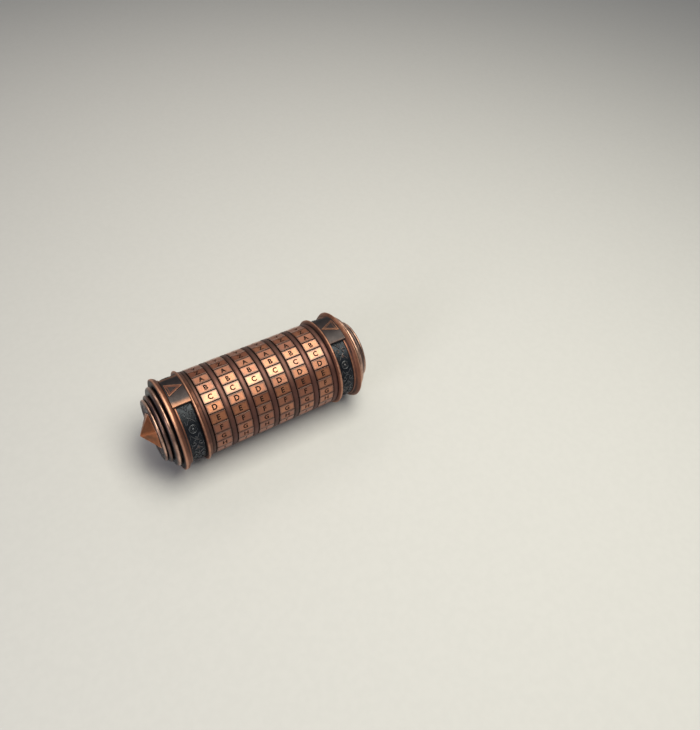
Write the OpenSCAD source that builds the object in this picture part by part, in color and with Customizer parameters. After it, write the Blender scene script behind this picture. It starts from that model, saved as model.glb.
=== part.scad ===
// Cryptex: letter-dial cylinder lock with a pull-out compartment.
// The barrel's axis is X. The fixed end is at +X and the pull end at -X.
// The reading line runs along the top, +Z. All sizes are in millimetres.

/* [View] */
// Sub-part to show, or all of them

/* [Dials] */
// Number of letter dials
dial_count = 6; // [4:1:7]
// Distance from one dial to the next
dial_pitch = 11.5; // [10:0.1:13]
// Letters around each dial
letters = 26; // [10:1:26]
// Outer radius over the letter plates
dial_r = 22.3; // [20:0.1:25]
// Width of a letter plate along the axis
plate_w = 8.2; // [6:0.1:9]
// Width of the dark groove between two plates
groove_w = 0.5; // [0.3:0.1:0.8]
// Depth of the plate grooves
groove_d = 0.7; // [0.3:0.1:1]
// Running gap between neighbouring dials
dial_gap = 0.2; // [0.1:0.05:0.4]
// Bore of a letter ring
letter_bore_r = 18.2; // [17.5:0.1:19]
// Depth of the clocking notches in a letter ring
notch_d = 1.0; // [0.6:0.1:1.4]
// Width of a clocking notch
notch_w = 1.8; // [1:0.1:2.4]

/* [Lock] */
// Outer radius of a lock ring
lock_r = 18.0; // [17:0.1:18.1]
// Bore of a lock ring's wall, which runs on the sleeve
lock_bore_r = 15.0; // [14.9:0.05:15.2]
// Radius of the relief that the peg sits in
relief_r = 17.0; // [16.8:0.1:17.4]
// Width of a lock ring's wall along the axis
wall_w = 3.7; // [2.5:0.1:4.5]
// Width of the gate that lets the pegs through
gate_w = 3.8; // [3.4:0.1:4.6]
// Radius of a locking peg
peg_r = 1.5; // [1:0.1:1.7]
// Reach of a locking peg from the axis
peg_reach = 16.6; // [16:0.1:16.7]
// Distance from a dial's middle to its peg
peg_offset = 3.0; // [1.5:0.1:5]

/* [Sleeve and container] */
// Outer radius of the core sleeve
sleeve_r = 14.8; // [14:0.1:15]
// Bore of the core sleeve
sleeve_bore_r = 13.3; // [13.1:0.1:13.6]
// Outer radius of the container tube
tube_r = 13.0; // [12:0.1:13]
// Bore of the container tube
tube_bore_r = 11.5; // [10:0.1:12]
// Half-angle of the container's window
window_half = 62; // [40:1:75]
// Length of the container's window
window_len = 56; // [40:1:60]

/* [End caps] */
// Distance from the middle to the inner face of each collar
collar_x = 36.0; // [35.9:0.1:37]
// Distance from the middle to the inner face of each band
band_x = 37.9; // [37.5:0.1:39]
// Distance from the middle to the inner face of each flange
flange_x = 47.0; // [46:0.1:48]
// Distance from the middle to the outer face of each flange
disc_x = 49.4; // [48.6:0.1:50]
// Distance from the middle to the inner face of each step
step_x = 53.2; // [52.6:0.1:54]
// Distance from the middle to the foot of each knob
knob_x = 56.9; // [55:0.1:58]
// Distance from the middle to the tip of each knob
tip_x = 63.3; // [60:0.1:66]
// Radius over the collar's bead
bead_r = 23.8; // [23:0.1:24]
// Radius of the recessed dark band
band_r = 21.9; // [20:0.1:22.5]
// Radius over the raised pads
pad_r = 23.4; // [22.5:0.1:24]
// Half-angle of a raised pad
pad_half = 25; // [15:1:40]
// Radius of the flanges, the widest part
flange_r = 24.3; // [24:0.1:26]
// Radius of the knob over its corners
knob_r = 10.4; // [8:0.1:11]
// Turn of the knob's corners from the reading line
knob_turn = 46; // [0:1:60]
// Radius of the knob's stud
stud_r = 3.0; // [2:0.1:4]
// Gap left round a piece that is pressed or screwed into another
fit = 0.03; // [0.01:0.01:0.05]

/* [Hidden] */
$fn = 96;
step_a = 360 / letters;
half_w = plate_w / 2;
ring_lo = -half_w - 0.2;
ring_hi = ring_lo + dial_pitch - dial_gap;
rim_groove_r = dial_r - groove_d / 2;
screw_ring_r = 17.8;

function dial_x(i) = (i - (dial_count + 1) / 2) * dial_pitch;

// A solid cylinder along X from x0 to x1.
module rod(x0, x1, r) {
    translate([x0, 0, 0]) rotate([0, 90, 0]) cylinder(h = x1 - x0, r = r);
}

// A ring along X from x0 to x1.
module ring(x0, x1, r_in, r_out) {
    difference() {
        rod(x0, x1, r_out);
        rod(x0 - 1, x1 + 1, r_in);
    }
}

// A profile of [radius, x] points turned about X.
module turned(points) {
    rotate([0, 90, 0]) rotate_extrude() polygon(points);
}

// A bar standing out from the axis at an angle from the top.
module spoke(x0, x1, width, r0, r1, angle = 0) {
    rotate([angle, 0, 0]) translate([x0, -width / 2, r0]) cube([x1 - x0, width, r1 - r0]);
}

// Everything in it is mirrored to the pull end when the end is -1.
module at_end(end) {
    if (end > 0) children();
    else mirror([1, 0, 0]) children();
}

// ---- Dials ----

module letter_ring(i) {
    translate([dial_x(i), 0, 0]) difference() {
        ring(ring_lo, ring_hi, letter_bore_r, dial_r);
        for (k = [0 : letters - 1]) {
            spoke(ring_lo - 1, half_w + 0.1, groove_w, dial_r - groove_d, dial_r + 1,
                (k + 0.5) * step_a);
            spoke(ring_lo - 1, 0, notch_w, letter_bore_r - 1, letter_bore_r + notch_d,
                k * step_a);
        }
        ring(half_w, half_w + 0.25, rim_groove_r, dial_r + 1);
        ring(ring_lo - 1, -half_w, rim_groove_r, dial_r + 1);
    }
}

module lock_ring(i) {
    translate([dial_x(i), 0, 0]) difference() {
        union() {
            rod(ring_lo, ring_hi, lock_r);
            for (a = [90, 270]) spoke(ring_lo + 0.2, -0.4, notch_w - 0.3, lock_r - 1,
                letter_bore_r + notch_d - 0.2, a - 90 + 5 * step_a);
        }
        rod(ring_lo - 1, ring_hi + 1, lock_bore_r);
        rod(ring_lo + wall_w, ring_hi + 1, relief_r);
        spoke(ring_lo - 1, ring_lo + wall_w + 1, gate_w, lock_bore_r - 2, relief_r);
    }
}

module letter_ring_1() color("#b9704a") letter_ring(1);
module letter_ring_2() color("#b9704a") letter_ring(2);
module letter_ring_3() color("#b9704a") letter_ring(3);
module letter_ring_4() color("#b9704a") letter_ring(4);
module letter_ring_5() color("#b9704a") letter_ring(5);
module letter_ring_6() color("#b9704a") letter_ring(6);
module lock_ring_1() color("#c9a24d") lock_ring(1);
module lock_ring_2() color("#c9a24d") lock_ring(2);
module lock_ring_3() color("#c9a24d") lock_ring(3);
module lock_ring_4() color("#c9a24d") lock_ring(4);
module lock_ring_5() color("#c9a24d") lock_ring(5);
module lock_ring_6() color("#c9a24d") lock_ring(6);

// ---- Fixed inner parts ----

module core_sleeve() color("#a8a9ab") difference() {
    ring(-collar_x - 0.3, flange_x, sleeve_bore_r, sleeve_r);
    spoke(-collar_x - 2, dial_x(dial_count) + peg_offset + peg_r + 0.7, gate_w,
        sleeve_bore_r - 2, sleeve_r + 1);
    for (a = [60, 180, 300]) rotate([a, 0, 0]) translate([-34.75, 0, sleeve_r - 0.9])
        cylinder(h = 4, r = 1.1);
}

module retainer_ring() color("#c9a24d") difference() {
    ring(-collar_x, -collar_x + 2.7, sleeve_r + fit, 20);
    spoke(-collar_x - 1, -collar_x + 4, gate_w, sleeve_r - 2, relief_r);
    for (a = [60, 180, 300]) rotate([a, 0, 0]) translate([-34.75, 0, sleeve_r - 2])
        cylinder(h = 8, r = 1.1);
}

module retainer_screws() color("#55565a")
    for (a = [60, 180, 300]) rotate([a, 0, 0]) translate([-34.75, 0, 0]) difference() {
        translate([0, 0, sleeve_r - 0.9]) cylinder(h = 5.6, r = 1.1);
        translate([-0.2, -2, 18.9]) cube([0.4, 4, 2]);
    }

module disc_spring() color("#8d9096") turned([[15.2, band_x], [15.2, band_x - 0.6],
    [19.4, collar_x], [19.6, collar_x], [19.6, collar_x + 0.6]]);

// ---- End caps, drawn for the fixed end ----

module collar(end) at_end(end) {
    turned([[20.3, collar_x], [bead_r - 1, collar_x], [bead_r - 0.3, collar_x + 0.3],
        [bead_r, collar_x + 0.8], [bead_r, collar_x + 1.3], [bead_r - 0.3, collar_x + 1.8],
        [bead_r - 1, band_x], [20.3, band_x]]);
}

module band(end, bore) at_end(end) difference() {
    ring(band_x, flange_x, bore + fit, band_r);
    for (a = [60, 180, 300]) rotate([a, 0, 0]) translate([0, 0, screw_ring_r]) {
        rod(band_x - 1, flange_x + 1, 1.5);
        rod(band_x - 1, band_x + 1.6, 2.8);
    }
}

// Two raised pads across the band, one over the reading line and one opposite.
module pads(end) at_end(end) for (a = [0, 180]) rotate([a, 0, 0]) difference() {
    ring(band_x, flange_x, band_r, pad_r);
    rotate([pad_half, 0, 0]) translate([band_x - 1, -60, -30]) cube([12, 60, 60]);
    rotate([-pad_half, 0, 0]) translate([band_x - 1, 0, -30]) cube([12, 60, 60]);
    translate([band_x - 1, -30, -60]) cube([12, 60, 60]);
}

// A raised triangle on the pad, pointing at the letters, with a sunken middle.
module pointer(end) at_end(end) intersection() {
    difference() {
        translate([0, 0, pad_r - 0.6]) linear_extrude(2)
            polygon([[band_x + 0.4, 0], [flange_x - 0.6, 4.2], [flange_x - 0.6, -4.2]]);
        translate([0, 0, pad_r + 0.3]) linear_extrude(2)
            polygon([[band_x + 2.4, 0], [flange_x - 1.5, 2.7], [flange_x - 1.5, -2.7]]);
        rod(band_x - 1, flange_x + 1, pad_r);
    }
    rod(band_x, flange_x, pad_r + 0.8);
}

module flange(end) at_end(end) difference() {
    turned([[stud_r, flange_x], [flange_r - 0.5, flange_x], [flange_r, flange_x + 0.5],
        [flange_r, disc_x - 0.7], [flange_r - 0.7, disc_x], [stud_r, disc_x]]);
    for (a = [60, 180, 300]) rotate([a, 0, 0]) translate([0, 0, screw_ring_r])
        rod(flange_x - 1, disc_x - 1.2, 1.5);
}

module disc(end) at_end(end) turned([[stud_r, disc_x], [19.2, disc_x], [19.2, disc_x + 0.9],
    [20.2, disc_x + 1.0], [20.7, disc_x + 1.5], [20.9, disc_x + 2.2], [20.7, disc_x + 2.9],
    [20.2, disc_x + 3.4], [16.4, step_x], [stud_r, step_x]]);

module step(end) at_end(end) turned([[stud_r, step_x], [16.7, step_x], [17.4, step_x + 0.4],
    [17.6, step_x + 1.0], [17.4, step_x + 1.6], [16.7, step_x + 2.0], [15.4, step_x + 2.1],
    [16.0, step_x + 2.5], [16.2, step_x + 3.0], [15.9, step_x + 3.5], [15.2, step_x + 3.8],
    [12.6, step_x + 3.8], [11.8, knob_x - 0.9], [stud_r, knob_x - 0.9]]);

// A hexagonal pyramid on a short foot, with a stud that ties the cap together.
module knob(end) at_end(end) {
    rotate([-knob_turn * end, 0, 0]) {
        translate([knob_x, 0, 0]) rotate([0, 90, 0]) cylinder(h = tip_x - knob_x,
            r1 = knob_r, r2 = 0.3, $fn = 6);
        translate([knob_x - 0.9, 0, 0]) rotate([0, 90, 0])
            cylinder(h = 0.9, r = knob_r, $fn = 6);
    }
    rod(flange_x - 4, knob_x - 0.8, stud_r - fit);
}

module plug(end, r) at_end(end) ring(flange_x - 5, flange_x, stud_r, r - fit);

module screws(end) at_end(end) for (a = [60, 180, 300]) rotate([a, 0, 0])
    translate([0, 0, screw_ring_r]) difference() {
        union() {
            rod(band_x + 0.2, band_x + 1.6, 2.6);
            rod(band_x + 1.2, disc_x - 1.4, 1.5);
        }
        translate([band_x - 0.5, -3, -0.3]) cube([1.3, 6, 0.6]);
    }

module fixed_collar() color("#b57a55") collar(1);
module fixed_band() color("#2c3240") band(1, sleeve_r);
module fixed_pads() color("#3a3a44") pads(1);
module fixed_pointer() color("#a8694a") pointer(1);
module fixed_flange() color("#b57a55") flange(1);
module fixed_disc() color("#a66c4a") disc(1);
module fixed_step() color("#a66c4a") step(1);
module fixed_knob() color("#b06a3c") knob(1);
module fixed_plug() color("#a8a9ab") plug(1, sleeve_bore_r);
module fixed_screws() color("#55565a") screws(1);

// ---- The pull end, which slides out with the container ----

module container_tube() color("#c9a24d") difference() {
    ring(-flange_x, 35.5, tube_bore_r, tube_r);
    for (i = [1 : dial_count]) translate([dial_x(i) + peg_offset, 0, tube_bore_r - 1])
        cylinder(h = 4, r = peg_r);
    intersection() {
        rod(-window_len / 2, window_len / 2, tube_r + 1);
        union() {
            rotate([90 - window_half, 0, 0]) translate([-40, -60, 0]) cube([80, 60, 60]);
            rotate([window_half - 90, 0, 0]) translate([-40, -60, -60]) cube([80, 60, 60]);
        }
    }
}

module container_lid() color("#c9a24d") rod(33.4, 35.5, tube_bore_r - fit);

module locking_pegs() color("#8d9096")
    for (i = [1 : dial_count]) translate([dial_x(i) + peg_offset, 0, tube_bore_r + 0.1])
        cylinder(h = peg_reach - tube_bore_r - 0.1, r = peg_r + 0.01);

module pull_collar() color("#b57a55") {
    collar(-1);
    ring(-collar_x - 0.2, -collar_x + 2.75, 20.3, dial_r);
}

module pull_band() color("#2c3240") band(-1, tube_r);
module pull_pads() color("#3a3a44") pads(-1);
module pull_pointer() color("#a8694a") pointer(-1);
module pull_flange() color("#b57a55") flange(-1);
module pull_disc() color("#a66c4a") disc(-1);
module pull_step() color("#a66c4a") step(-1);
module pull_knob() color("#b06a3c") knob(-1);
module pull_plug() color("#a8a9ab") plug(-1, tube_bore_r);
module pull_screws() color("#55565a") screws(-1);

letter_ring_1();
letter_ring_2();
letter_ring_3();
letter_ring_4();
letter_ring_5();
letter_ring_6();
lock_ring_1();
lock_ring_2();
lock_ring_3();
lock_ring_4();
lock_ring_5();
lock_ring_6();
core_sleeve();
retainer_ring();
retainer_screws();
disc_spring();
fixed_collar();
fixed_band();
fixed_pads();
fixed_pointer();
fixed_flange();
fixed_disc();
fixed_step();
fixed_knob();
fixed_plug();
fixed_screws();
container_tube();
container_lid();
locking_pegs();
pull_collar();
pull_band();
pull_pads();
pull_pointer();
pull_flange();
pull_disc();
pull_step();
pull_knob();
pull_plug();
pull_screws();
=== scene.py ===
import math
import random

import bmesh
import bpy
from mathutils import Matrix, Vector, noise


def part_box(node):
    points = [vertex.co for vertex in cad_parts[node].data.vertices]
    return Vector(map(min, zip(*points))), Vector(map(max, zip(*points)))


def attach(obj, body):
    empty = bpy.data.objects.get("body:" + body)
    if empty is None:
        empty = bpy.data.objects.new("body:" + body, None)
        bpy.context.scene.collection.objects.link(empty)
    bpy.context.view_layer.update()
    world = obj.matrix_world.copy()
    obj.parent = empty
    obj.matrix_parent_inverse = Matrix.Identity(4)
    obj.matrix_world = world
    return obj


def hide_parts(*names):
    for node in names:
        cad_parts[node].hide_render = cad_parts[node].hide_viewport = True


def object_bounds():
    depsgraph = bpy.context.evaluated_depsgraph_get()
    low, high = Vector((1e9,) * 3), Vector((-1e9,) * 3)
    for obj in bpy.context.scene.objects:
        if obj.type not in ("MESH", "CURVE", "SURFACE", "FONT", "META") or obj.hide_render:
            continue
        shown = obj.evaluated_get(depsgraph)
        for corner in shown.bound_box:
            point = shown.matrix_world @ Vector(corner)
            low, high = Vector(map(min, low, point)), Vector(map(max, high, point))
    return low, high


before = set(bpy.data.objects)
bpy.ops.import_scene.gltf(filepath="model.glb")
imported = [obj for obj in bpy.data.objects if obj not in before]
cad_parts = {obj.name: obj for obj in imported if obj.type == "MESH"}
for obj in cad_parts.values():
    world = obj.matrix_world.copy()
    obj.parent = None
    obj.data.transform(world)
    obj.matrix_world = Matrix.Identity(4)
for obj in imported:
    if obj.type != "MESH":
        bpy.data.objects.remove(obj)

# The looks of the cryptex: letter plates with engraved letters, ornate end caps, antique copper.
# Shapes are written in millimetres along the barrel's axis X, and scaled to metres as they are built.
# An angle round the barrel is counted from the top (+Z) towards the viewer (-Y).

# The box of the CAD model alone, taken before any piece is added
CAD_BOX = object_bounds()
MM = 0.001

# ---- Sizes, in millimetres, and angles in radians ----

LETTERS = "ABCDEFGHIJKLMNOPQRSTUVWXYZ"
LETTER_STEP = math.tau / len(LETTERS)
DIALS = 6
PITCH = 11.5

# A dial's ring, with its places along the axis counted from the middle of the plates
DIAL_R = 22.3
FLOOR_R = 21.45
RING_BORE = 18.2
RING_LOW = -4.3
RING_HIGH = 7.0
RIM_LOW = 4.35
RIM_CROWN = 0.42

# A letter plate: the sink and tilts are the most that one plate may differ from its neighbours
GROOVE_W = 0.5
PLATE_HALF_W = 4.1
PLATE_HALF_H = DIAL_R * math.sin(LETTER_STEP / 2) - GROOVE_W / 2
PLATE_FLAT_R = DIAL_R * math.cos(LETTER_STEP / 2) + 0.02
PLATE_BEVEL = 0.17
PLATE_CORNER = 0.30
PLATE_SINK = 0.02
PLATE_TILT_X = 0.008
PLATE_TILT_Y = 0.006

# A letter: its width's scale is at most LETTER_NARROW of its height's, and its strokes grow by the weight
LETTER_HEIGHT = 2.9
LETTER_WIDTH = 2.6
LETTER_NARROW = 0.95
LETTER_WEIGHT = 0.16
LETTER_DEPTH = 0.16

# The caps' bands, and the pads on them, with how far in from a pad's ends it is rounded and rubbed
BAND_R = 21.5
PAD_R = 23.38
PAD_HALF = math.radians(25)
PAD_ROWS = 40
PAD_COLUMNS = 16
PAD_SHOULDER = 0.5
PAD_DROP = 0.35
PAD_RUB_REACH = 3.6

# How finely round shapes are cut
TURN_STEPS = 208
CURVE_STEPS = 5
RELIEF_SIDES = 6


def dial_x(number):
    """Middle of a dial's plates along the axis."""
    return (number - (DIALS + 1) / 2) * PITCH


# ---- Mesh helpers ----

def add_piece(name, mesh, body, material, nodes=(), sharp=35):
    """Links a mesh as a piece that rides on a CAD body and may stand for CAD nodes."""
    piece = bpy.data.objects.new(name, mesh)
    bpy.context.scene.collection.objects.link(piece)
    mesh.materials.clear()
    mesh.materials.append(material)
    mesh.shade_smooth()
    mesh.set_sharp_from_angle(angle=math.radians(sharp))
    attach(piece, body)
    if nodes:
        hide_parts(*nodes)
    return piece


def mesh_from(points, faces, wear=None):
    """A mesh from millimetre points, its faces turned outwards, with a wear value at each point."""
    mesh = bpy.data.meshes.new("piece")
    mesh.from_pydata([Vector(p) * MM for p in points], [], faces)
    if wear is not None:
        mesh.attributes.new("wear", "FLOAT", "POINT").data.foreach_set("value", wear)
    shape = bmesh.new()
    shape.from_mesh(mesh)
    bmesh.ops.recalc_face_normals(shape, faces=shape.faces)
    shape.to_mesh(mesh)
    shape.free()
    return mesh


def on_barrel(x, angle, r):
    """A point at a place along the axis, an angle round it and a distance from it."""
    return (x, -r * math.sin(angle), r * math.cos(angle))


def turned_mesh(profile, end=1, ripple=0.0):
    """A closed profile of (x, r, wear) turned about the axis, mirrored to the pull end when end is -1.

    Worn places swell and sink unevenly by about the ripple.
    """
    points, faces, wear = [], [], []
    count = len(profile)
    for turn in range(TURN_STEPS):
        angle = math.tau * turn / TURN_STEPS
        for x, r, worn in profile:
            swell = ripple * worn * noise.noise(Vector((x, 9 * math.sin(angle), 9 * math.cos(angle))))
            points.append(on_barrel(end * x, angle, r + swell))
            wear.append(worn)
    for turn in range(TURN_STEPS):
        here, after = turn * count, (turn + 1) % TURN_STEPS * count
        for i in range(count):
            j = (i + 1) % count
            faces.append((here + i, here + j, after + j, after + i))
    return mesh_from(points, faces, wear)


def bead(x0, x1, r, height, steps=10, worn=1.0, base=0.25):
    """Points of a half-round bead between two places on a profile, with base wear at its foot."""
    arc = []
    for i in range(steps + 1):
        turn = math.pi * i / steps
        lift = math.sin(turn)
        x = (x0 + x1) / 2 - (x1 - x0) / 2 * math.cos(turn)
        arc.append((x, r + height * lift, base + (worn - base) * lift))
    return arc


def cove(x0, r0, x1, r1, worn, steps=7):
    """Points of a hollow quarter-round from one place on a profile to another."""
    arc = []
    for i in range(steps + 1):
        turn = math.pi / 2 * i / steps
        arc.append((x0 + (x1 - x0) * (1 - math.cos(turn)), r0 + (r1 - r0) * math.sin(turn), worn))
    return arc


def bridge(points, faces, ring, places):
    """Adds a ring of new points, joined to the ring before it by quads."""
    first = len(points)
    points.extend(places)
    new = list(range(first, first + len(places)))
    for i in range(len(ring)):
        j = (i + 1) % len(ring)
        faces.append((ring[i], ring[j], new[j], new[i]))
    return new


def join_rings(faces, rings):
    """Joins a row of equal rings of point numbers by quads, and closes both ends."""
    sides = len(rings[0])
    for a, b in zip(rings, rings[1:]):
        for k in range(sides):
            j = (k + 1) % sides
            faces.append((a[k], a[j], b[j], b[k]))
    faces.append(tuple(rings[0]))
    faces.append(tuple(reversed(rings[-1])))


# ---- Materials ----

class Nodes:
    """A new material, with short names for the shader nodes that the materials share."""

    def __init__(self, name):
        self.material = bpy.data.materials.new(name)
        self.material.use_nodes = True
        self.tree = self.material.node_tree
        self.shader = self.tree.nodes["Principled BSDF"]
        coordinates = self.tree.nodes.new("ShaderNodeTexCoord")
        self.place = coordinates.outputs["Object"]

    def put(self, socket, value):
        """Links another node's output to a socket, or sets the socket to a plain value."""
        if isinstance(value, bpy.types.NodeSocket):
            self.tree.links.new(value, socket)
        else:
            socket.default_value = value

    def add(self, kind, output=0, settings=None, **inputs):
        """Adds a node and returns one output. An input is given by its name, or by its number as i0, i1."""
        node = self.tree.nodes.new("ShaderNode" + kind)
        for key, value in (settings or {}).items():
            setattr(node, key, value)
        for key, value in inputs.items():
            self.put(node.inputs[int(key[1:]) if key[0] == "i" and key[1:].isdigit() else key], value)
        return node.outputs[output]

    def attribute(self, name, output="Fac"):
        return self.add("Attribute", output, {"attribute_name": name})

    def math(self, operation, a, b=0.0):
        return self.add("Math", 0, {"operation": operation}, i0=a, i1=b)

    def noise(self, scale, detail=4.0, rough=0.55, stretch=(1, 1, 1), shift=0.0):
        """Noise in the object's own space, its waves per metre given by the scale and the stretch."""
        place = self.add("Mapping", 0, None, Vector=self.place, Scale=stretch,
                         Location=(shift, shift, shift))
        return self.add("TexNoise", 0, None, Vector=place, Scale=scale, Detail=detail, Roughness=rough)

    def ramp(self, value, low, high, out_low=0.0, out_high=1.0):
        """A smooth step between two values."""
        node = self.tree.nodes.new("ShaderNodeMapRange")
        node.interpolation_type = "SMOOTHSTEP"
        for i, item in enumerate((value, low, high, out_low, out_high)):
            self.put(node.inputs[i], item)
        return node.outputs[0]

    def mix(self, share, a, b):
        """A colour that goes from a to b as the share goes from 0 to 1."""
        node = self.tree.nodes.new("ShaderNodeMix")
        node.data_type = "RGBA"
        self.put(node.inputs[0], share)
        self.put(node.inputs[6], a)
        self.put(node.inputs[7], b)
        return node.outputs[2]

    def bump(self, height, strength, distance, after=None):
        node = self.tree.nodes.new("ShaderNodeBump")
        self.put(node.inputs["Height"], height)
        node.inputs["Strength"].default_value = strength
        node.inputs["Distance"].default_value = distance
        if after is not None:
            self.put(node.inputs["Normal"], after)
        return node.outputs[0]

    def finish(self, color, roughness, metallic, normal):
        self.put(self.shader.inputs["Base Color"], color)
        self.put(self.shader.inputs["Roughness"], roughness)
        self.put(self.shader.inputs["Metallic"], metallic)
        self.put(self.shader.inputs["Normal"], normal)
        return self.material


def rgb(r, g, b):
    """An opaque colour for a shader socket."""
    return (r, g, b, 1.0)


def antique(name, bright, mid, dark, rough=0.42, worn_low=0.15, worn_high=0.95, metallic=0.9):
    """Worn cast copper: purple and grey-green patina in the hollows, bright metal on raised edges."""
    n = Nodes(name)
    wear = n.attribute("wear")
    cloud = n.noise(70, 5, 0.6)
    patch = n.noise(38, 3, 0.5, shift=9.3)
    fine = n.noise(600, 3, 0.6, shift=3.1)
    worn = n.math("ADD", wear, n.math("MULTIPLY", n.math("SUBTRACT", cloud, 0.5), 1.1))
    shade = n.ramp(worn, worn_low, worn_high)
    greenish = rgb(dark[0] * 0.8, dark[1] * 1.35, dark[2] * 1.15)
    patina = n.mix(n.ramp(patch, 0.40, 0.60), rgb(*dark), greenish)
    base = n.mix(shade, patina, rgb(*mid))
    rubbed = n.ramp(n.math("ADD", worn, n.math("MULTIPLY", fine, 0.25)), 0.9, 1.4)
    color = n.mix(rubbed, base, rgb(*bright))
    pits = n.ramp(fine, 0.28, 0.40, 0.70, 1.0)
    color = n.mix(pits, rgb(*[c * 0.45 for c in dark]), color)
    scratches = n.noise(260, 2, 0.5, stretch=(9, 1, 1), shift=7.7)
    roughness = n.math("ADD", n.ramp(shade, 0, 1, rough + 0.1, rough),
                       n.math("MULTIPLY", n.math("SUBTRACT", scratches, 0.5), 0.25))
    normal = n.bump(cloud, 0.25, 0.0004)
    normal = n.bump(fine, 0.22, 0.00012, normal)
    return n.finish(color, roughness, metallic, normal)


def plate_copper():
    """Bright copper plates: each a little different, darker towards its edges, with a fine tooth."""
    n = Nodes("plate_copper")
    spot = n.tree.nodes.new("ShaderNodeSeparateXYZ")
    n.put(spot.inputs[0], n.attribute("plate", "Vector"))
    along = n.math("SUBTRACT", PLATE_HALF_W * MM, n.math("ABSOLUTE", spot.outputs[0]))
    across = n.math("SUBTRACT", PLATE_HALF_H * MM, n.math("ABSOLUTE", spot.outputs[1]))
    near_edge = n.math("MINIMUM", along, across)
    cloud = n.noise(150, 5, 0.6)
    edge = n.ramp(n.math("ADD", near_edge, n.math("MULTIPLY", n.math("SUBTRACT", cloud, 0.5), 0.0009)),
                  0.0, 0.0011)
    tone = n.ramp(n.math("ADD", n.math("MULTIPLY", spot.outputs[2], 0.6), n.math("MULTIPLY", cloud, 0.7)),
                  0.2, 1.1)
    face = n.mix(tone, rgb(0.235, 0.070, 0.032), rgb(0.41, 0.158, 0.076))
    fine = n.noise(900, 3, 0.65, shift=1.7)
    face = n.mix(n.ramp(fine, 0.28, 0.50, 0.45, 0.0), face, rgb(0.08, 0.027, 0.017))
    color = n.mix(edge, rgb(0.10, 0.034, 0.022), face)
    brushed = n.noise(420, 2, 0.5, stretch=(1, 7, 7), shift=4.4)
    roughness = n.math("ADD", n.ramp(edge, 0, 1, 0.60, 0.45),
                       n.math("MULTIPLY", n.math("SUBTRACT", brushed, 0.5), 0.22))
    normal = n.bump(n.noise(130, 3, 0.5, shift=5.0), 0.25, 0.0004)
    normal = n.bump(fine, 0.25, 0.00010, normal)
    n.shader.inputs["Specular Tint"].default_value = rgb(0.85, 0.42, 0.30)
    n.shader.inputs["Coat Weight"].default_value = 1.0
    n.shader.inputs["Coat Roughness"].default_value = 0.31
    n.shader.inputs["Coat IOR"].default_value = 1.55
    return n.finish(color, roughness, 0.92, normal)


def letter_black():
    """Matt black fill in the letters, a little uneven."""
    n = Nodes("letter_black")
    fine = n.noise(1500, 3, 0.6)
    color = n.mix(n.ramp(fine, 0.3, 0.7), rgb(0.008, 0.005, 0.005), rgb(0.026, 0.014, 0.011))
    n.shader.inputs["Specular IOR Level"].default_value = 0.2
    return n.finish(color, n.ramp(fine, 0.2, 0.8, 0.6, 0.8), 0.4, n.bump(fine, 0.3, 0.00008))


def blackened(name, deep, dark, raised):
    """Blackened casting, with its raised edges worn lighter and their tops rubbed to the copper."""
    n = Nodes(name)
    wear = n.attribute("wear")
    cloud = n.noise(90, 5, 0.6)
    fine = n.noise(700, 3, 0.6, shift=2.0)
    worn = n.math("ADD", wear, n.math("MULTIPLY", n.math("SUBTRACT", cloud, 0.5), 0.8))
    ground = n.mix(n.ramp(cloud, 0.3, 0.7), rgb(*deep), rgb(*dark))
    color = n.mix(n.ramp(worn, 0.35, 1.05), ground, rgb(*raised))
    # Rubbed to copper on raised tops; on the pads this rub is partly painted highlight.
    rub_and_painted_light = n.ramp(n.math("ADD", worn, n.math("MULTIPLY", fine, 0.3)), 1.15, 1.5)
    color = n.mix(rub_and_painted_light, color, rgb(0.50, 0.22, 0.12))
    metallic = n.ramp(rub_and_painted_light, 0, 1, 0.7, 0.95)
    roughness = n.math("ADD", 0.40, n.math("MULTIPLY", n.math("SUBTRACT", fine, 0.5), 0.3))
    normal = n.bump(cloud, 0.2, 0.0003)
    normal = n.bump(fine, 0.3, 0.00012, normal)
    return n.finish(color, roughness, metallic, normal)


def lathe_turned(name, light, dark, rough):
    """Turned metal with fine tool rings along the barrel and a faint tarnish."""
    n = Nodes(name)
    rings = n.noise(1400, 2, 0.5, stretch=(1, 0.002, 0.002))
    cloud = n.noise(60, 4, 0.6, shift=6.0)
    color = n.mix(n.ramp(cloud, 0.3, 0.75), rgb(*dark), rgb(*light))
    color = n.mix(n.ramp(rings, 0.35, 0.6, 0.10, 0.0), color, rgb(*[c * 0.6 for c in dark]))
    roughness = n.math("ADD", rough, n.math("MULTIPLY", n.math("SUBTRACT", rings, 0.5), 0.14))
    normal = n.bump(rings, 0.16, 0.00006)
    return n.finish(color, roughness, 1.0, n.bump(cloud, 0.1, 0.0003, normal))


def floor_card():
    """Plain pale matt card."""
    n = Nodes("floor_card")
    grain = n.noise(300, 3, 0.5)
    color = n.mix(n.ramp(grain, 0.3, 0.7), rgb(0.445, 0.45, 0.48), rgb(0.455, 0.46, 0.49))
    return n.finish(color, 0.85, 0.0, n.bump(grain, 0.02, 0.0001))


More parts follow.
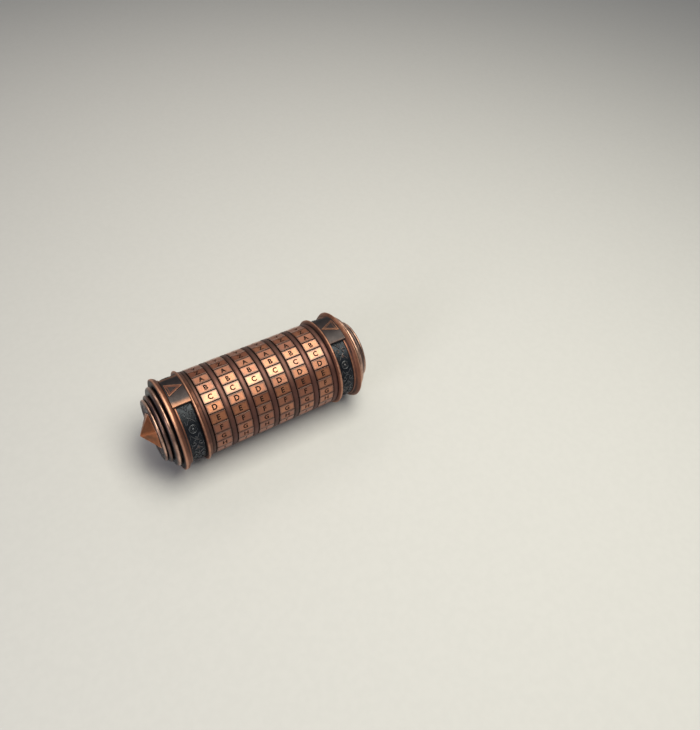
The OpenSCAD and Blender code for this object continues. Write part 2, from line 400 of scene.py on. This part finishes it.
PLATE = plate_copper()
BLACK = letter_black()
COPPER = antique("antique_copper", (0.50, 0.265, 0.185), (0.205, 0.085, 0.056), (0.036, 0.024, 0.032),
                 rough=0.50)
# Copper of the discs and steps: its pale bright tone on the bead crests and its raised mid tone are partly
# painted highlight and painted reflection, over the copper's own wear and patina.
STEPPED_AND_SHEEN = antique("stepped_copper_and_sheen", (0.74, 0.50, 0.40), (0.26, 0.145, 0.115), (0.030, 0.022, 0.034),
                  rough=0.33, worn_low=0.3, worn_high=1.05)
RIM = antique("rim_bronze", (0.26, 0.125, 0.098), (0.135, 0.062, 0.052), (0.046, 0.024, 0.024), rough=0.50)
KNOB = antique("knob_copper", (0.78, 0.50, 0.38), (0.40, 0.130, 0.052), (0.090, 0.034, 0.022),
               rough=0.42, worn_low=0.28, worn_high=0.72, metallic=0.8)
BAND = blackened("blackened_band", (0.006, 0.008, 0.013), (0.014, 0.019, 0.028), (0.075, 0.080, 0.095))
PAD = blackened("pad_patina", (0.012, 0.010, 0.013), (0.036, 0.028, 0.031), (0.20, 0.095, 0.062))
BRASS = lathe_turned("turned_brass", (0.78, 0.60, 0.30), (0.52, 0.37, 0.16), 0.30)
STEEL = lathe_turned("turned_steel", (0.62, 0.61, 0.60), (0.40, 0.39, 0.38), 0.32)
SCREW = lathe_turned("blackened_steel", (0.16, 0.16, 0.17), (0.07, 0.07, 0.08), 0.38)

# ---- Letter plates ----


def letter_outline(letter):
    """A curve object with the outlines of one letter, as the built-in font draws it."""
    text = bpy.data.curves.new("outline", "FONT")
    text.body = letter
    shape = bpy.data.objects.new("outline", text)
    bpy.context.scene.collection.objects.link(shape)
    bpy.ops.object.select_all(action="DESELECT")
    bpy.context.view_layer.objects.active = shape
    shape.select_set(True)
    bpy.ops.object.convert(target="CURVE")
    shape = bpy.context.view_layer.objects.active
    return shape


def is_straight(a, b, c, d):
    """Whether both handles of a Bezier stretch lie on its chord, or on its own ends."""
    chord = (d - a).normalized()
    return ((b - a).length < 1e-4 and (c - d).length < 1e-4) or (
        abs((b - a).cross(chord).z) < 1e-3 and abs((d - c).cross(chord).z) < 1e-3)


def outline_points(shape):
    """The closed outlines of a letter, bolder and scaled to the plate, in millimetres about its centre."""
    outlines = []
    for spline in shape.data.splines:
        knots = spline.bezier_points
        line = []
        for i, knot in enumerate(knots):
            after = knots[(i + 1) % len(knots)]
            a, b, c, d = knot.co, knot.handle_right, after.handle_left, after.co
            steps = 1 if is_straight(a, b, c, d) else CURVE_STEPS
            for step in range(steps):
                t = step / steps
                p = (1 - t) ** 3 * a + 3 * (1 - t) ** 2 * t * b + 3 * (1 - t) * t * t * c + t ** 3 * d
                line.append((p.x, p.y))
        outlines.append(line)
    xs = [p[0] for line in outlines for p in line]
    ys = [p[1] for line in outlines for p in line]
    cx, cy = (min(xs) + max(xs)) / 2, (min(ys) + max(ys)) / 2
    high = (LETTER_HEIGHT - 2 * LETTER_WEIGHT) / (max(ys) - min(ys))
    wide = min(high * LETTER_NARROW, (LETTER_WIDTH - 2 * LETTER_WEIGHT) / (max(xs) - min(xs)))
    placed = [[((x - cx) * wide, (y - cy) * high) for x, y in line] for line in outlines]
    outer = max(placed, key=lambda line: abs(area(line)))
    hand = math.copysign(1.0, area(outer))
    return [thicken(line, hand * LETTER_WEIGHT) for line in placed]


def area(line):
    """Signed area of a closed outline."""
    return sum(a[0] * b[1] - b[0] * a[1] for a, b in zip(line, line[1:] + line[:1])) / 2


def thicken(line, amount):
    """Moves an outline sideways, so that a letter's strokes grow bolder."""
    moved = []
    count = len(line)
    for i in range(count):
        before, here, after = (Vector(line[k % count]) for k in (i - 1, i, i + 1))
        first, second = (here - before).normalized(), (after - here).normalized()
        n1, n2 = Vector((first.y, -first.x)), Vector((second.y, -second.x))
        along = (n1 + n2).normalized()
        reach = amount / max(0.5, along.dot(n1))
        moved.append((here.x + along.x * reach, here.y + along.y * reach))
    return moved


def rounded_rectangle(half_x, half_y, corner, steps=4):
    """The outline of a rectangle with round corners, about the origin."""
    line = []
    for quarter, (sx, sy) in enumerate(((1, 1), (-1, 1), (-1, -1), (1, -1))):
        for i in range(steps + 1):
            turn = math.pi / 2 * (quarter + i / steps)
            line.append((sx * (half_x - corner) + corner * math.cos(turn),
                         sy * (half_y - corner) + corner * math.sin(turn)))
    return line


def fill_outlines(outlines):
    """Triangles that fill nested outlines, holes left open. Returns plane points and faces."""
    shape = bmesh.new()
    for line in outlines:
        corners = [shape.verts.new((x, y, 0)) for x, y in line]
        for i, corner in enumerate(corners):
            shape.edges.new((corner, corners[(i + 1) % len(corners)]))
    bmesh.ops.triangle_fill(shape, use_beauty=True, use_dissolve=False, edges=shape.edges)
    shape.verts.index_update()
    points = [(v.co.x, v.co.y) for v in shape.verts]
    faces = [tuple(v.index for v in f.verts) for f in shape.faces]
    shape.free()
    return points, faces


def plate_shape(letter):
    """One plate with its letter cut in, and the letter's black floor, both flat and about the origin."""
    shape = letter_outline(letter)
    letters = outline_points(shape)
    bpy.data.objects.remove(shape)
    edge = rounded_rectangle(PLATE_HALF_W, PLATE_HALF_H, PLATE_CORNER)
    inner = rounded_rectangle(PLATE_HALF_W - PLATE_BEVEL, PLATE_HALF_H - PLATE_BEVEL,
                              PLATE_CORNER - PLATE_BEVEL)
    flat, faces = fill_outlines([inner] + letters)
    points = [(x, y, 0.0) for x, y in flat]
    count = len(edge)
    # Rings from the top face's edge down over the rounded shoulder to the foot of the plate.
    previous = list(range(count))
    for t in (0.33, 0.67, 1.0):
        turn = math.pi / 2 * t
        out, down = math.sin(turn), 1 - math.cos(turn)
        ring = [(a[0] + (b[0] - a[0]) * out, a[1] + (b[1] - a[1]) * out, -PLATE_BEVEL * down)
                for a, b in zip(inner, edge)]
        previous = bridge(points, faces, previous, ring)
    foot = [(x, y, FLOOR_R - 0.1 - PLATE_FLAT_R) for x, y in edge]
    previous = bridge(points, faces, previous, foot)
    faces.append(tuple(previous))
    # Walls of the letter, from the face down to just below its black floor.
    start = count
    for line in letters:
        top = list(range(start, start + len(line)))
        start += len(line)
        bridge(points, faces, top, [(x, y, -LETTER_DEPTH) for x, y in line])
    floor, floor_faces = fill_outlines(letters)
    floor = [(x, y, -LETTER_DEPTH + 0.005) for x, y in floor]
    return points, faces, floor, floor_faces


def dial_plates(number, shapes, rng):
    """All of a dial's plates as one mesh, each a little lower or tilted, and all its letters as another."""
    plates, plate_faces, spots = [], [], []
    letters, letter_faces = [], []
    for k, (points, faces, floor, floor_faces) in enumerate(shapes):
        turn = Matrix.Rotation(k * LETTER_STEP, 3, "X")
        tone = rng.random()
        lift = Vector((0, 0, PLATE_FLAT_R + rng.uniform(-PLATE_SINK, 0.0)))
        tilt = Matrix.Rotation(rng.uniform(-PLATE_TILT_X, PLATE_TILT_X), 3, "X")
        tilt = tilt @ Matrix.Rotation(rng.uniform(-PLATE_TILT_Y, PLATE_TILT_Y), 3, "Y")

        def place(p):
            return turn @ (tilt @ Vector(p) + lift) + Vector((dial_x(number), 0, 0))

        first = len(plates)
        for p in points:
            plates.append(place(p))
            spots.extend((p[0] * MM, p[1] * MM, tone))
        plate_faces.extend(tuple(first + i for i in face) for face in faces)
        first = len(letters)
        letters.extend(place(p) for p in floor)
        letter_faces.extend(tuple(first + i for i in face) for face in floor_faces)
    plate_mesh = mesh_from(plates, plate_faces)
    plate_mesh.attributes.new("plate", "FLOAT_VECTOR", "POINT").data.foreach_set("vector", spots)
    letter_mesh = mesh_from(letters, letter_faces)
    return plate_mesh, letter_mesh


def dial_body_profile(number):
    """The ring under the plates, with its crowned rim on the right."""
    x = dial_x(number)
    crown = DIAL_R - RIM_CROWN
    profile = [(x + RING_LOW, RING_BORE, 0.3), (x + RING_LOW, FLOOR_R - 0.2, 0.1),
               (x + RING_LOW + 0.2, FLOOR_R, 0.1), (x + RIM_LOW - 0.12, FLOOR_R, 0.0),
               (x + RIM_LOW, FLOOR_R + 0.15, 0.1)]
    profile += bead(x + RIM_LOW, x + RING_HIGH, crown, DIAL_R - crown, 12, worn=0.75, base=0.2)
    profile += [(x + RING_HIGH, RING_BORE, 0.3)]
    return profile


def build_dials():
    """Each dial's plates, its black letters and the ring under them."""
    rng = random.Random(26)
    shapes = [plate_shape(letter) for letter in LETTERS]
    for number in range(1, DIALS + 1):
        body = f"dial_{number}"
        plate_mesh, letter_mesh = dial_plates(number, shapes, rng)
        add_piece(f"plates_{number}", plate_mesh, body, PLATE,
                  [f"letter_ring_{number}"], sharp=12)
        add_piece(f"letters_{number}", letter_mesh, body, BLACK)
        ring = turned_mesh(dial_body_profile(number), ripple=0.04)
        add_piece(f"ring_body_{number}", ring, body, RIM)


# ---- End caps ----

def cad_x(node, side):
    """Lowest (0) or highest (1) place of a CAD node along the axis, in millimetres."""
    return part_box(node)[side].x / MM


# Where the parts of a cap start along the axis, and the sizes that both caps share
COLLAR_X = cad_x("fixed_collar", 0)
BAND_X = cad_x("fixed_band", 0)
FLANGE_X = cad_x("fixed_flange", 0)
DISC_X = cad_x("fixed_disc", 0)
STEP_X = cad_x("fixed_step", 0)
TIP_X = cad_x("fixed_knob", 1)
PULL_COLLAR_X = COLLAR_X - 1.0
CAP_BORE = 20.3
STUD_R = 3.0
KNOB_X = TIP_X - 6.4
KNOB_R = 10.3
KNOB_TURN = math.radians(46)
KNOB_BEVEL = 0.14
KNOB_LONGEST_EDGE = 1.2
KNOB_SPLITS = 3


def collar_profile(low):
    """A collar that swells from the dial's side to a rounded crest beside the band."""
    swell = [(low, CAP_BORE, 0.2), (low, 22.1, 0.45), (low + 0.12, 22.35, 0.6),
             (COLLAR_X + 0.35, 22.75, 0.65), (COLLAR_X + 0.65, 23.15, 0.8)]
    crest = bead(COLLAR_X + 0.65, BAND_X, 22.95, 0.82, 14, 1.1, 0.8)
    # The crest's first points are left out, so that the swell runs straight into it.
    return swell + crest[3:] + [(BAND_X, 22.1, 0.35), (BAND_X, CAP_BORE, 0.1)]


def rim_profile(low, high):
    """The pull cap's own dark rim, between the first dial and the collar."""
    inside = [(high, CAP_BORE, 0.1), (high, 21.9, 0.2)]
    return inside + bead(high, low, 21.9, 0.3, 10, 0.6, 0.2) + [(low, CAP_BORE, 0.2)]


def band_profile(bore):
    """The recessed band under the ornament, a little lower along each side."""
    margin, side_r = 0.8, BAND_R - 0.2
    low, high = BAND_X + margin, FLANGE_X - margin
    middle = [(low + (high - low) * i / 12, BAND_R, 0.15) for i in range(13)]
    return ([(BAND_X, bore, 0.1), (BAND_X, side_r, 0.0)] + middle
            + [(FLANGE_X, side_r, 0.0), (FLANGE_X, bore, 0.1)])


def ridge_profile():
    """The worn shoulder on the band that rises to the flange."""
    low, high = FLANGE_X - 1.35, FLANGE_X - 0.01
    return [(low, BAND_R - 0.3, 0.1), (low, BAND_R + 0.25, 0.6), (low + 0.15, BAND_R + 0.5, 0.85),
            (low + 0.45, BAND_R + 0.62, 0.9), (low + 0.75, BAND_R + 0.62, 0.7),
            (low + 0.9, BAND_R + 0.72, 0.5), (high, BAND_R + 1.35, 0.6), (high, BAND_R - 0.3, 0.1)]


def flange_profile(high):
    """A broad edge that swells to a bright crest on its outer side, then falls to a dark flat face."""
    low = FLANGE_X
    edge = [(low, STUD_R, 0.1), (low, 22.9, 0.6), (low + 0.25, 23.25, 0.8), (low + 0.7, 23.6, 0.75),
            (low + 1.2, 23.85, 0.8), (low + 1.6, 24.05, 0.95)]
    crest = [(high - 0.55 + 0.5 * math.sin(turn), 23.65 + 0.5 * math.cos(turn), 1.5 - 0.5 * turn)
             for turn in (math.pi / 2 * i / 7 for i in range(8))]
    return edge + crest + [(high - 0.04, 23.0, 0.2), (high - 0.1, 22.2, 0.1), (high - 0.3, 21.3, 0.0),
                           (high - 0.3, 19.6, 0.0), (high - 0.3, STUD_R, 0.1)]


def disc_profile():
    """The wide disc beside the flange: a dark hollow, a bead, and a cove up to the step."""
    profile = [(DISC_X - 0.2, STUD_R, 0.1), (DISC_X - 0.2, 18.9, 0.0), (DISC_X + 0.5, 18.8, 0.0)]
    profile += bead(DISC_X + 0.6, DISC_X + 3.45, 19.35, 1.5, 18, base=0.0)
    profile += cove(DISC_X + 3.5, 18.6, STEP_X, 16.2, 0.05)
    return profile + [(STEP_X, STUD_R, 0.1)]


def step_profile():
    """The two smaller beads, and a low ring round the knob's seat."""
    profile = [(STEP_X, STUD_R, 0.1), (STEP_X, 15.8, 0.0)]
    profile += bead(STEP_X + 0.1, STEP_X + 2.05, 16.3, 1.25, 16, worn=0.7)
    profile += [(STEP_X + 2.1, 15.2, 0.0)]
    profile += bead(STEP_X + 2.15, STEP_X + 3.85, 15.05, 1.1, 16)
    profile += [(STEP_X + 3.7, 14.2, 0.5), (STEP_X + 3.6, 13.6, 0.3), (STEP_X + 3.1, 13.1, 0.0)]
    profile += bead(STEP_X + 3.1, STEP_X + 3.5, 12.6, -0.35, 6, worn=0.9)
    return profile + [(STEP_X + 3.3, 12.1, 0.2), (KNOB_X - 0.75, 11.3, 0.0), (KNOB_X - 0.85, STUD_R, 0.0)]


def knob_mesh(end):
    """A hexagonal pyramid with softened edges on a thin hexagonal foot."""
    levels = [(KNOB_X - 0.88, KNOB_R - 0.25), (KNOB_X - 0.5, KNOB_R), (KNOB_X - 0.05, KNOB_R),
              (KNOB_X + 0.1, KNOB_R - 0.45), (TIP_X - 0.02, 0.28)]
    points, faces = [], []
    previous = None
    for x, r in levels:
        ring = [on_barrel(end * x, KNOB_TURN + math.tau * i / 6, r) for i in range(6)]
        if previous is None:
            points.extend(ring)
            previous = list(range(6))
            faces.append(tuple(previous))
        else:
            previous = bridge(points, faces, previous, ring)
    faces.append(tuple(previous))
    mesh = mesh_from(points, faces)
    shape = bmesh.new()
    shape.from_mesh(mesh)
    bmesh.ops.bevel(shape, geom=shape.edges[:], offset=KNOB_BEVEL * MM, segments=3, affect="EDGES",
                    profile=0.6, clamp_overlap=True)
    bmesh.ops.triangulate(shape, faces=shape.faces[:])
    for _ in range(KNOB_SPLITS):
        long = [e for e in shape.edges if e.calc_length() > KNOB_LONGEST_EDGE * MM]
        bmesh.ops.subdivide_edges(shape, edges=long, cuts=1, use_grid_fill=True)
    worn = shape.verts.layers.float.new("wear")
    for vert in shape.verts:
        bend = max(e.calc_face_angle(0.0) for e in vert.link_edges)
        vert[worn] = 0.5 + min(0.7, 2.0 * bend)
    shape.to_mesh(mesh)
    shape.free()
    return mesh


# ---- Relief on the bands ----

# How far a rosette's middle lies along the band from the barrel's front or back
ROSETTE_ARC = 12.3
# How far a rib's or stud's foot is sunk into the band
FOOT_SINK = 0.05


def spiral(x, arc, size, turns, start, hand, steps=30):
    """A curl that winds in from its outer end."""
    path = []
    for i in range(steps + 1):
        t = i / steps
        r = size * (1 - 0.82 * t ** 0.9)
        turn = start + hand * math.tau * turns * t
        path.append((x + r * math.cos(turn), arc + r * math.sin(turn)))
    return path


def bow(x0, a0, x1, a1, bulge, steps=14):
    """A bowed line between two places."""
    path = []
    for i in range(steps + 1):
        t = i / steps
        dx, da = x1 - x0, a1 - a0
        long = math.hypot(dx, da)
        push = bulge * math.sin(math.pi * t)
        path.append((x0 + dx * t - da / long * push, a0 + da * t + dx / long * push))
    return path


class Relief:
    """Raised ornament on a band. A place on it is (x, arc), with arc measured round its surface."""

    def __init__(self):
        self.points, self.faces, self.wear = [], [], []

    def stroke(self, path, width, height):
        """A raised rib along a path. It tapers to both ends."""
        rings = []
        count = len(path)
        for i, (x, arc) in enumerate(path):
            before, after = path[max(i - 1, 0)], path[min(i + 1, count - 1)]
            heading = Vector((after[0] - before[0], after[1] - before[1])).normalized()
            side = Vector((-heading.y, heading.x))
            share = i / (count - 1)
            swell = min(1.0, 0.30 + 4.2 * share * (1 - share))
            ring = []
            for k in range(RELIEF_SIDES + 1):
                turn = math.pi * k / RELIEF_SIDES
                off = width / 2 * swell * math.cos(turn)
                lift = height * swell * math.sin(turn)
                ring.append(len(self.points))
                self.points.append(on_barrel(x + side.x * off, (arc + side.y * off) / BAND_R,
                                             BAND_R - FOOT_SINK + lift))
                self.wear.append(0.25 + 0.8 * math.sin(turn) * swell)
            rings.append(ring)
        join_rings(self.faces, rings)

    def boss(self, x, arc, size, height, sides=14, levels=4):
        """A small domed stud."""
        previous = None
        for level in range(levels):
            turn = math.pi / 2 * level / levels
            r = size * math.cos(turn)
            lift = height * math.sin(turn)
            around = [math.tau * i / sides for i in range(sides)]
            ring = [on_barrel(x + r * math.cos(a), (arc + r * math.sin(a)) / BAND_R,
                              BAND_R - FOOT_SINK + lift) for a in around]
            self.wear.extend([0.3 + 0.8 * math.sin(turn)] * sides)
            if previous is None:
                previous = list(range(len(self.points), len(self.points) + sides))
                self.points.extend(ring)
                self.faces.append(tuple(previous))
            else:
                previous = bridge(self.points, self.faces, previous, ring)
        tip = len(self.points)
        self.points.append(on_barrel(x, arc / BAND_R, BAND_R + height))
        self.wear.append(1.1)
        self.faces.extend((previous[i], previous[(i + 1) % sides], tip) for i in range(sides))


def rosette(relief, x, arc):
    """A stud and a ring of petals inside a round rib."""
    wheel_r, wheel_steps = 1.95, 36
    petal_r, petals = 1.22, 8
    relief.boss(x, arc, 0.75, 0.5)
    wheel = []
    # The rib runs a step past its start, so that its thin ends overlap.
    for i in range(wheel_steps + 2):
        turn = math.tau * i / wheel_steps
        wheel.append((x + wheel_r * math.cos(turn), arc + wheel_r * math.sin(turn)))
    relief.stroke(wheel, 0.6, 0.5)
    for petal in range(petals):
        turn = math.tau * petal / petals
        relief.boss(x + petal_r * math.cos(turn), arc + petal_r * math.sin(turn), 0.26, 0.28, sides=8)


def scrolls(relief, x, arc, side):
    """Crossed stems, curls, leaves and studs on one side of a rosette, placed from its middle."""
    for across in (1, -1):
        hand = across * side
        stem = bow(x - across * 2.6, arc + side * 2.0, x + across * 2.3, arc + side * 6.6, hand * 0.7)
        relief.stroke(stem, 0.6, 0.5)
        curl = spiral(x + across * 1.75, arc + side * 7.6, 1.55, 1.25,
                      math.pi / 2 * (1 - across) - hand * 0.9, hand)
        relief.stroke(curl, 0.62, 0.55)
        tendril = bow(x + across * 3.1, arc + side * 5.2, x + across * 2.9, arc + side * 2.4, -hand * 0.4)
        relief.stroke(tendril, 0.45, 0.4)
        leaf = bow(x + across * 0.3, arc + side * 9.0, x + across * 2.6, arc + side * 11.6, hand * 0.7)
        relief.stroke(leaf, 0.6, 0.5)
        relief.boss(x + across * 3.1, arc + side * 9.6, 0.36, 0.4)
    spine = bow(x, arc + side * 8.6, x, arc + side * 11.9, 0.0)
    relief.stroke(spine, 0.75, 0.55)
    relief.boss(x, arc + side * 4.3, 0.42, 0.62)


def band_relief(end):
    """Two rosettes with their scrolls on the front of a band and two on its back, between the pads."""
    relief = Relief()
    middle = end * (BAND_X + FLANGE_X - 1.2) / 2
    for half in (1, -1):
        for place in (1, -1):
            centre = half * math.pi / 2 * BAND_R + place * ROSETTE_ARC
            rosette(relief, middle, centre)
            for side in (1, -1):
                scrolls(relief, middle, centre, side)
    return mesh_from(relief.points, relief.faces, relief.wear)


def pad_mesh(end, rub_and_painted_light):
    """The two raised pads, rubbed to the copper towards both ends of their arc, above a dark wall. The rub
    is partly wear and partly painted highlight.
    """
    points, faces, wear = [], [], []
    low, high = BAND_X + 0.02, FLANGE_X - 0.02
    wide = PAD_COLUMNS + 1
    for opposite in (0, math.pi):
        first = len(points)
        for i in range(PAD_ROWS + 1):
            angle = opposite + PAD_HALF * (2 * i / PAD_ROWS - 1)
            edge = min(i, PAD_ROWS - i) / PAD_ROWS * 2 * PAD_HALF * BAND_R
            drop = PAD_DROP * max(0.0, 1 - edge / PAD_SHOULDER) ** 2
            # Copper rub towards the arc's ends: partly wear, partly painted highlight.
            worn = 0.2 if edge == 0 else 0.15 + rub_and_painted_light * max(0.0, 1 - edge / PAD_RUB_REACH)
            for j in range(wide):
                x = low + (high - low) * j / PAD_COLUMNS
                points.append(on_barrel(end * x, angle, PAD_R - drop))
                wear.append(worn)
        for i in range(PAD_ROWS):
            for j in range(PAD_COLUMNS):
                a = first + i * wide + j
                faces.append((a, a + 1, a + wide + 1, a + wide))
        border = [first + j for j in range(wide)]
        border += [first + i * wide + PAD_COLUMNS for i in range(1, PAD_ROWS + 1)]
        border += [first + PAD_ROWS * wide + j for j in range(PAD_COLUMNS - 1, -1, -1)]
        border += [first + i * wide for i in range(PAD_ROWS - 1, 0, -1)]
        base = []
        for index in border:
            place = Vector(points[index])
            flat = Vector((0, place.y, place.z)).normalized() * (BAND_R - 0.2)
            base.append((place.x, flat.y, flat.z))
        new = bridge(points, faces, border, base)
        wear.extend([0.0] * len(base))
        faces.append(tuple(new))
    return mesh_from(points, faces, wear)


def triangle(scale):
    """A triangle's corners on the unrolled band, its tip towards the letters."""
    tip = BAND_X + 0.6
    back = FLANGE_X - 0.85
    half_back = 3.75
    centre = tip + (back - tip) * 0.66
    corners = [(tip, 0.0), (back, half_back), (back, -half_back)]
    return [(centre + (x - centre) * scale, arc * scale) for x, arc in corners]


def rib(points, faces, wear, path, width, height, r):
    """A raised rib of even width along a straight path, with rounded ends."""
    rings = []
    start, stop = Vector(path[0]), Vector(path[-1])
    heading = (stop - start).normalized()
    side = Vector((-heading.y, heading.x))
    stretch = [start - heading * width * 0.3] + [Vector(p) for p in path] + [stop + heading * width * 0.3]
    for i, place in enumerate(stretch):
        swell = 0.55 if i in (0, len(stretch) - 1) else 1.0
        ring = []
        for k in range(RELIEF_SIDES + 1):
            turn = math.pi * k / RELIEF_SIDES
            off = width / 2 * swell * math.cos(turn)
            spot = place + side * off
            ring.append(len(points))
            points.append(on_barrel(spot.x, spot.y / r, r - 0.06 + height * swell * math.sin(turn) ** 0.6))
            wear.append(0.35 + 0.75 * math.sin(turn))
        rings.append(ring)
    join_rings(faces, rings)


def pointer_mesh(end):
    """A raised triangular plate with a bright frame round it and a sunken dark middle."""
    points, faces, wear = [], [], []
    r = PAD_R - 0.02
    corners = triangle(1.0)
    for a, b in zip(corners, corners[1:] + corners[:1]):
        path = bow(end * a[0], a[1], end * b[0], b[1], 0.0, 10)
        rib(points, faces, wear, path, 0.45, 0.42, r)
    rings = []
    levels = ((0.98, -0.1, 0.3), (0.95, 0.18, 0.75), (0.50, 0.16, 0.6), (0.43, 0.03, -0.6),
              (0.30, 0.02, -0.9))
    for scale, lift, worn in levels:
        ring = []
        for x, arc in triangle(scale):
            ring.append(len(points))
            points.append(on_barrel(end * x, arc / r, r + lift))
            wear.append(worn)
        rings.append(ring)
    join_rings(faces, rings)
    return mesh_from(points, faces, wear)


def build_cap(prefix, body, end, band_bore, collar_low, flange_high, pad_rub_and_painted_light, pointer):
    """The outer pieces of one cap. Its end is 1 or -1, the way that the cap faces along the axis."""

    def turned(part, profile, material, ripple=0.05):
        mesh = turned_mesh(profile, end, ripple)
        return add_piece(f"{prefix}_{part}_form", mesh, body, material, [f"{prefix}_{part}"])

    turned("collar", collar_profile(collar_low), COPPER)
    turned("band", band_profile(band_bore), BAND, 0.02)
    turned("flange", flange_profile(flange_high), COPPER)
    add_piece(f"{prefix}_ridge", turned_mesh(ridge_profile(), end), body, COPPER)
    turned("disc", disc_profile(), STEPPED_AND_SHEEN)
    turned("step", step_profile(), STEPPED_AND_SHEEN)
    add_piece(f"{prefix}_relief", band_relief(end), body, BAND)
    add_piece(f"{prefix}_pads_form", pad_mesh(end, pad_rub_and_painted_light), body, PAD, [f"{prefix}_pads"])
    add_piece(f"{prefix}_pointer_form", pointer_mesh(end), body, pointer,
              [f"{prefix}_pointer"])
    add_piece(f"{prefix}_knob_form", knob_mesh(end), body, KNOB, [f"{prefix}_knob"])


def build_pull_rim():
    """The dark rim beside the first dial, which slides out with the pull cap."""
    rim = turned_mesh(rim_profile(PULL_COLLAR_X - 1.7, PULL_COLLAR_X + 0.02), -1, 0.04)
    add_piece("pull_rim", rim, "drawer", RIM)


# ---- Inner parts that keep their CAD shape ----

def dress_inner():
    """Gives the inner CAD parts their materials."""
    dress = {"core_sleeve": STEEL, "retainer_ring": BRASS, "retainer_screws": SCREW, "disc_spring": STEEL,
             "fixed_plug": STEEL, "pull_plug": STEEL, "fixed_screws": SCREW, "pull_screws": SCREW,
             "container_tube": BRASS, "container_lid": BRASS, "locking_pegs": STEEL}
    for number in range(1, DIALS + 1):
        dress[f"lock_ring_{number}"] = BRASS
    for node, material in dress.items():
        for material_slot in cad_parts[node].material_slots:
            material_slot.material = material


# ---- Stage, light and camera ----

def build_stage():
    """A wide floor just under the object, in metres."""
    half, gap = 3.0, 0.0001
    z = CAD_BOX[0][2] - gap
    corners = [(-half, -half, z), (half, -half, z), (half, half, z), (-half, half, z)]
    mesh = bpy.data.meshes.new("floor")
    mesh.from_pydata(corners, [], [(0, 1, 2, 3)])
    mesh.materials.append(floor_card())
    floor = bpy.data.objects.new("floor", mesh)
    bpy.context.scene.collection.objects.link(floor)


def add_light(name, place, size, power, color):
    """A rectangular light that faces the origin. The first side of its size is square to the Y axis."""
    light = bpy.data.lights.new(name, "AREA")
    light.shape = "RECTANGLE"
    light.size, light.size_y = size
    light.energy = power
    light.color = color
    lamp = bpy.data.objects.new(name, light)
    back = Vector(place).normalized()
    across = Vector((0, 1, 0)).cross(back).normalized()
    turn = Matrix((across, back.cross(across), back)).transposed()
    lamp.matrix_world = Matrix.Translation(place) @ turn.to_4x4()
    bpy.context.scene.collection.objects.link(lamp)


def build_light():
    """A large key light above, a weak fill from the pull end, a weak back light and a dim sky."""
    add_light("key", (0.15, -0.14, 0.60), (0.34, 0.60), 6.4, (1.0, 0.96, 0.77))
    add_light("fill", (-0.62, -0.25, 0.28), (0.26, 0.26), 1.7, (1.0, 0.95, 0.90))
    add_light("back", (0.05, 0.46, 0.50), (0.60, 0.20), 0.8, (1.0, 0.88, 0.74))
    world = bpy.data.worlds.new("world")
    world.use_nodes = True
    backdrop = world.node_tree.nodes["Background"]
    backdrop.inputs["Color"].default_value = rgb(0.90, 0.92, 0.96)
    backdrop.inputs["Strength"].default_value = 0.20
    bpy.context.scene.world = world
    bpy.context.scene.view_settings.view_transform = "Standard"


def build_camera():
    """The viewing direction: from the pull end's side, looking down on the reading line."""
    place = Vector((-0.09225, -0.22372, 0.26956))
    right = Vector((0.85056, -0.52478, 0.03394))
    up = Vector((0.36061, 0.62901, 0.68870))
    lens = bpy.data.cameras.new("camera")
    lens.sensor_width = 36.0
    lens.lens = 33.97
    lens.clip_start = 0.01
    lens.clip_end = 20.0
    camera = bpy.data.objects.new("camera", lens)
    back = right.cross(up).normalized()
    turn = Matrix((right.normalized(), back.cross(right).normalized(), back)).transposed()
    camera.matrix_world = Matrix.Translation(place) @ turn.to_4x4()
    bpy.context.scene.collection.objects.link(camera)
    bpy.context.scene.camera = camera


build_camera()
build_stage()
build_light()
build_dials()
# The two caps are alike, but the fixed cap's pads are rubbed less and its pointer takes the dark pad
# finish, a painted shade, while the pull cap's pads are rubbed more, a painted highlight over their wear,
# and its pointer is copper.
build_cap("fixed", "barrel", end=1, band_bore=14.8, collar_low=COLLAR_X, flange_high=DISC_X - 0.2,
          pad_rub_and_painted_light=0.45, pointer=PAD)
build_cap("pull", "drawer", end=-1, band_bore=13.0, collar_low=PULL_COLLAR_X, flange_high=DISC_X + 0.5,
          pad_rub_and_painted_light=1.1, pointer=COPPER)
build_pull_rim()
dress_inner()

bpy.context.view_layer.update()
